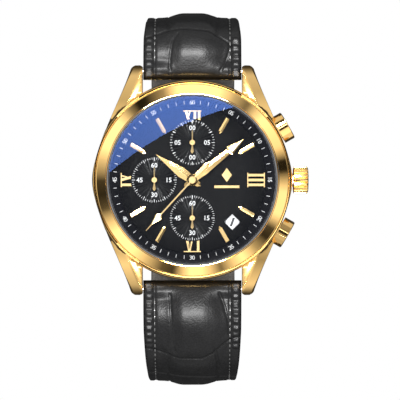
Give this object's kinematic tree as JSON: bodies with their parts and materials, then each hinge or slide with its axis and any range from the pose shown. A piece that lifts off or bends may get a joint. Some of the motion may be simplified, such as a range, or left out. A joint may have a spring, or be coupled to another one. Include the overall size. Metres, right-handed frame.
{
  "type": "chronograph wristwatch",
  "caption": "Round gold-cased chronograph wristwatch with black dial, three counters, crown and pushers, on a padded black leather strap with a pin buckle.",
  "frame": {"origin": "on the hand axis, at the outer face of the case back", "axes": "+Z towards 12 o'clock, +X towards 3 o'clock and the crown, dial faces -Y, +Y out of the case back towards the wrist"},
  "size_m": [0.0432, 0.0626, 0.0772],
  "materials": {
    "gold_case": "polished yellow gold plating",
    "gold_hands": "polished facets",
    "crystal_glass": "polished, blue anti-reflection coating",
    "black_dial": "satin black",
    "cream_lume": "matte luminous paint",
    "white_date": "matte white",
    "steel": "satin",
    "seal_rubber": "matte",
    "movement_brass": "satin",
    "motor_copper": "wound wire and iron leaf",
    "board_green": "solder mask",
    "holder_plastic": "moulded",
    "black_leather": "glossy scale-embossed, padded"
  },
  "bodies": {
    "case": {"case_middle": "gold_case", "bezel": "gold_case", "crystal": "crystal_glass", "crystal_gasket": "seal_rubber", "case_back": "steel", "case_back_gasket": "seal_rubber", "movement_holder": "holder_plastic", "case_tubes": "steel", "dial": "black_dial", "chapter_ring": "black_dial", "hour_batons": "gold_hands", "hour_numerals": "gold_hands", "applied_mark": "gold_hands", "main_plate": "movement_brass", "train_bridge": "movement_brass", "bridge_screws": "steel", "circuit_board": "board_green", "battery": "steel", "battery_clamp": "steel", "motor_stators_and_coils": "motor_copper", "quartz_can": "steel", "spring_bars": "steel", "pusher_spring_upper": "steel", "pusher_spring_lower": "steel"},
    "setting_lever": {"setting_lever": "steel"},
    "crown": {"crown": "gold_case", "crown_gasket": "seal_rubber", "winding_stem": "steel", "sliding_pinion": "movement_brass"},
    "pusher_upper": {"pusher_upper": "gold_case", "pusher_clip_upper": "steel"},
    "pusher_lower": {"pusher_lower": "gold_case", "pusher_clip_lower": "steel"},
    "minute_hand": {"minute_hand": "gold_hands", "minute_hand_lume": "cream_lume", "cannon_pinion": "movement_brass"},
    "minute_wheel": {"minute_wheel": "movement_brass"},
    "hour_hand": {"hour_hand": "gold_hands", "hour_wheel": "movement_brass"},
    "chrono_seconds": {"chrono_seconds_hand": "gold_hands", "chrono_seconds_lume": "cream_lume", "chrono_seconds_wheel": "movement_brass"},
    "counter_top": {"counter_hand_top": "gold_hands", "counter_wheel_top": "movement_brass"},
    "counter_left": {"counter_hand_left": "gold_hands", "counter_wheel_left": "movement_brass"},
    "counter_bottom": {"counter_hand_bottom": "gold_hands", "counter_wheel_bottom": "movement_brass"},
    "motor_rotor_centre": {"motor_rotor_centre": "motor_copper"},
    "motor_rotor_top": {"motor_rotor_top": "motor_copper"},
    "motor_rotor_left": {"motor_rotor_left": "motor_copper"},
    "motor_rotor_bottom": {"motor_rotor_bottom": "motor_copper"},
    "date_disc": {"date_disc": "white_date"},
    "strap_upper": {"strap_upper": "black_leather", "fixed_keeper": "black_leather", "buckle_bar": "steel"},
    "strap_lower": {"strap_lower": "black_leather"},
    "buckle_frame": {"buckle_frame": "gold_case"},
    "buckle_tongue": {"buckle_tongue": "gold_case"},
    "free_keeper": {"free_keeper": "black_leather"}
  },
  "joints": [
    {"name": "crown_pull", "type": "slide", "parent": "case", "child": "setting_lever", "axis": [1, 0, 0], "range_m": [0, 0.001]},
    {"name": "crown_turn", "type": "hinge", "parent": "setting_lever", "child": "crown", "pos_m": [0.021, -0.0046, 0], "axis": [1, 0, 0], "continuous": true},
    {"name": "pusher_upper_press", "type": "slide", "parent": "case", "child": "pusher_upper", "axis": [-0.866, 0, -0.5], "range_m": [0, 0.0008], "stiffness_N_per_m": 300, "springref_m": -0.0005, "deforming": ["pusher_spring_upper"]},
    {"name": "pusher_lower_press", "type": "slide", "parent": "case", "child": "pusher_lower", "axis": [-0.866, 0, 0.5], "range_m": [0, 0.0008], "stiffness_N_per_m": 300, "springref_m": -0.0005, "deforming": ["pusher_spring_lower"]},
    {"name": "minute_hand_turn", "type": "hinge", "parent": "case", "child": "minute_hand", "pos_m": [0, -0.005, 0], "axis": [0, 1, 0], "continuous": true},
    {"name": "minute_wheel_turn", "type": "hinge", "parent": "case", "child": "minute_wheel", "pos_m": [0.00212, -0.005, -0.00212], "axis": [0, 1, 0], "continuous": true},
    {"name": "hour_hand_turn", "type": "hinge", "parent": "case", "child": "hour_hand", "pos_m": [0, -0.005, 0], "axis": [0, 1, 0], "continuous": true},
    {"name": "chrono_seconds_turn", "type": "hinge", "parent": "case", "child": "chrono_seconds", "pos_m": [0, -0.005, 0], "axis": [0, 1, 0], "continuous": true},
    {"name": "counter_top_turn", "type": "hinge", "parent": "case", "child": "counter_top", "pos_m": [0, -0.005, 0.0075], "axis": [0, 1, 0], "continuous": true},
    {"name": "counter_left_turn", "type": "hinge", "parent": "case", "child": "counter_left", "pos_m": [-0.0076, -0.005, 0], "axis": [0, 1, 0], "continuous": true},
    {"name": "counter_bottom_turn", "type": "hinge", "parent": "case", "child": "counter_bottom", "pos_m": [0, -0.005, -0.0076], "axis": [0, 1, 0], "continuous": true},
    {"name": "motor_rotor_centre_turn", "type": "hinge", "parent": "case", "child": "motor_rotor_centre", "pos_m": [0.00248, -0.005, -0.0009], "axis": [0, 1, 0], "continuous": true},
    {"name": "motor_rotor_top_turn", "type": "hinge", "parent": "case", "child": "motor_rotor_top", "pos_m": [-0.00264, -0.005, 0.0075], "axis": [0, 1, 0], "continuous": true},
    {"name": "motor_rotor_left_turn", "type": "hinge", "parent": "case", "child": "motor_rotor_left", "pos_m": [-0.0076, -0.005, -0.00264], "axis": [0, 1, 0], "continuous": true},
    {"name": "motor_rotor_bottom_turn", "type": "hinge", "parent": "case", "child": "motor_rotor_bottom", "pos_m": [0.00264, -0.005, -0.0076], "axis": [0, 1, 0], "continuous": true},
    {"name": "date_disc_turn", "type": "hinge", "parent": "case", "child": "date_disc", "pos_m": [0, -0.005, 0], "axis": [0, 1, 0], "continuous": true},
    {"name": "strap_upper_swing", "type": "hinge", "parent": "case", "child": "strap_upper", "pos_m": [0, -0.0022, 0.0219], "axis": [1, 0, 0], "range_deg": [0, 55]},
    {"name": "strap_lower_swing", "type": "hinge", "parent": "case", "child": "strap_lower", "pos_m": [0, -0.0022, -0.0219], "axis": [1, 0, 0], "range_deg": [-55, 0]},
    {"name": "buckle_frame_swing", "type": "hinge", "parent": "strap_upper", "child": "buckle_frame", "pos_m": [0, 0.04973, -0.00272], "axis": [1, 0, 0], "range_deg": [0, 45]},
    {"name": "buckle_tongue_swing", "type": "hinge", "parent": "buckle_frame", "child": "buckle_tongue", "pos_m": [0, 0.04973, -0.00272], "axis": [1, 0, 0], "range_deg": [0, 60]},
    {"name": "free_keeper_slide", "type": "slide", "parent": "strap_upper", "child": "free_keeper", "axis": [0, -0.2164, 0.9763], "range_m": [-0.0012, 0.003]}
  ],
  "couplings": [
    {"joint": "minute_wheel_turn", "follows": "minute_hand_turn", "ratio": -0.33333},
    {"joint": "hour_hand_turn", "follows": "minute_hand_turn", "ratio": 0.083333},
    {"joint": "strap_lower_swing", "follows": "strap_upper_swing", "ratio": -1},
    {"joint": "motor_rotor_centre_turn", "follows": "chrono_seconds_turn", "ratio": -10},
    {"joint": "motor_rotor_top_turn", "follows": "counter_top_turn", "ratio": -10},
    {"joint": "motor_rotor_left_turn", "follows": "counter_left_turn", "ratio": -10},
    {"joint": "motor_rotor_bottom_turn", "follows": "counter_bottom_turn", "ratio": -10}
  ]
}
